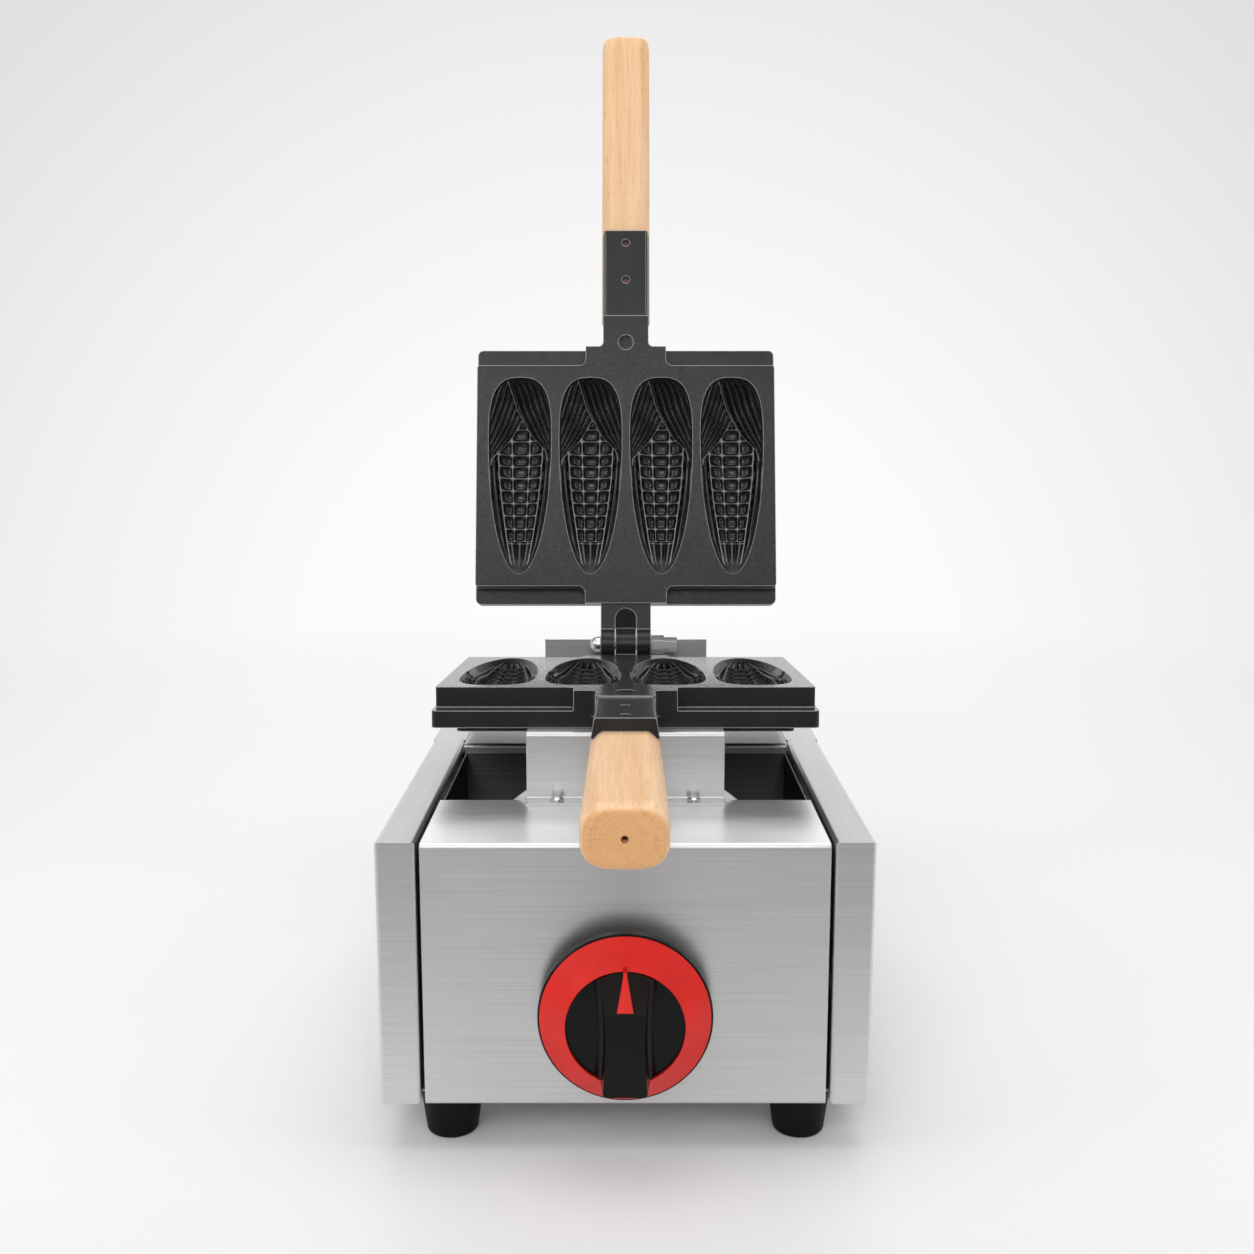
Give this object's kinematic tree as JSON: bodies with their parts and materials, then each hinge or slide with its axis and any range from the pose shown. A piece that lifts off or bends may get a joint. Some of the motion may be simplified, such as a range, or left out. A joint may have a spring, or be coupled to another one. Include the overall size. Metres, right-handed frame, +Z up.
{
  "type": "gas waffle stick iron",
  "caption": "Gas iron for corn-shaped waffle sticks: stainless burner housing on rubber feet, red-ringed knob, hinged cast moulds with wooden handles, shown open",
  "frame": {"origin": "on the floor, on the centre plane, midway between the tips of the two handles with the lid open", "axes": "+X is the right-hand side seen from the front, +Y points to the back, +Z points up"},
  "size_m": [0.25, 0.6036, 0.6556],
  "materials": {
    "stainless": "satin, brushed",
    "heat_dark_steel": "matt, heat-darkened",
    "black_rubber": "matt",
    "brass": "machined",
    "ceramic": "glazed",
    "black_sleeve": "matt",
    "black_plastic": "fine satin grain",
    "red_gloss": "gloss",
    "cast_iron": "as-cast, dark coated",
    "beech": "smooth, unlacquered",
    "zinc_steel": "zinc plated"
  },
  "bodies": {
    "housing": {"left_side_channel": "stainless", "right_side_channel": "stainless", "front_panel": "stainless", "rear_cover": "stainless", "left_rear_cap": "stainless", "right_rear_cap": "stainless", "back_panel": "stainless", "back_panel_screws": "stainless", "base_pan": "stainless", "fire_box": "heat_dark_steel", "front_left_foot": "black_rubber", "front_right_foot": "black_rubber", "rear_left_foot": "black_rubber", "rear_right_foot": "black_rubber", "foot_screws": "stainless", "front_bracket": "stainless", "front_bracket_screws": "stainless", "flame_guard": "stainless", "rear_bracket": "stainless", "rear_bracket_screws": "stainless", "left_burner_tube": "stainless", "right_burner_tube": "stainless", "burner_rest": "stainless", "gas_manifold": "brass", "jets": "brass", "valve_body": "brass", "valve_nut": "brass", "supply_pipe": "brass", "gas_inlet": "brass", "spark_electrode": "ceramic", "ignition_lead": "black_sleeve"},
    "plunger": {"valve_plunger": "stainless"},
    "knob": {"knob_stem": "stainless", "knob_body": "black_plastic", "knob_ring": "red_gloss", "knob_pointer": "red_gloss"},
    "mould_base": {"lower_mould": "cast_iron", "lower_handle": "beech", "hinge_bolt": "zinc_steel", "hinge_nut": "zinc_steel", "hinge_cap_nut": "zinc_steel"},
    "mould_lid": {"upper_mould": "cast_iron", "upper_handle": "beech"}
  },
  "joints": [
    {"name": "knob_push", "type": "slide", "parent": "housing", "child": "plunger", "axis": [0, 1, 0], "range_m": [0, 0.003], "stiffness_N_per_m": 400, "springref_m": -0.002},
    {"name": "knob_turn", "type": "hinge", "parent": "plunger", "child": "knob", "pos_m": [0, -0.1505, 0.0779], "axis": [0, -1, 0], "range_deg": [0, 180]},
    {"name": "mould_lift", "type": "slide", "parent": "housing", "child": "mould_base", "axis": [0, 0, 1], "range_m": [0, 0.12]},
    {"name": "mould_hinge", "type": "hinge", "parent": "mould_base", "child": "mould_lid", "pos_m": [0, 0.15966, 0.21091], "axis": [1, 0, 0], "range_deg": [0, 99.64]}
  ]
}
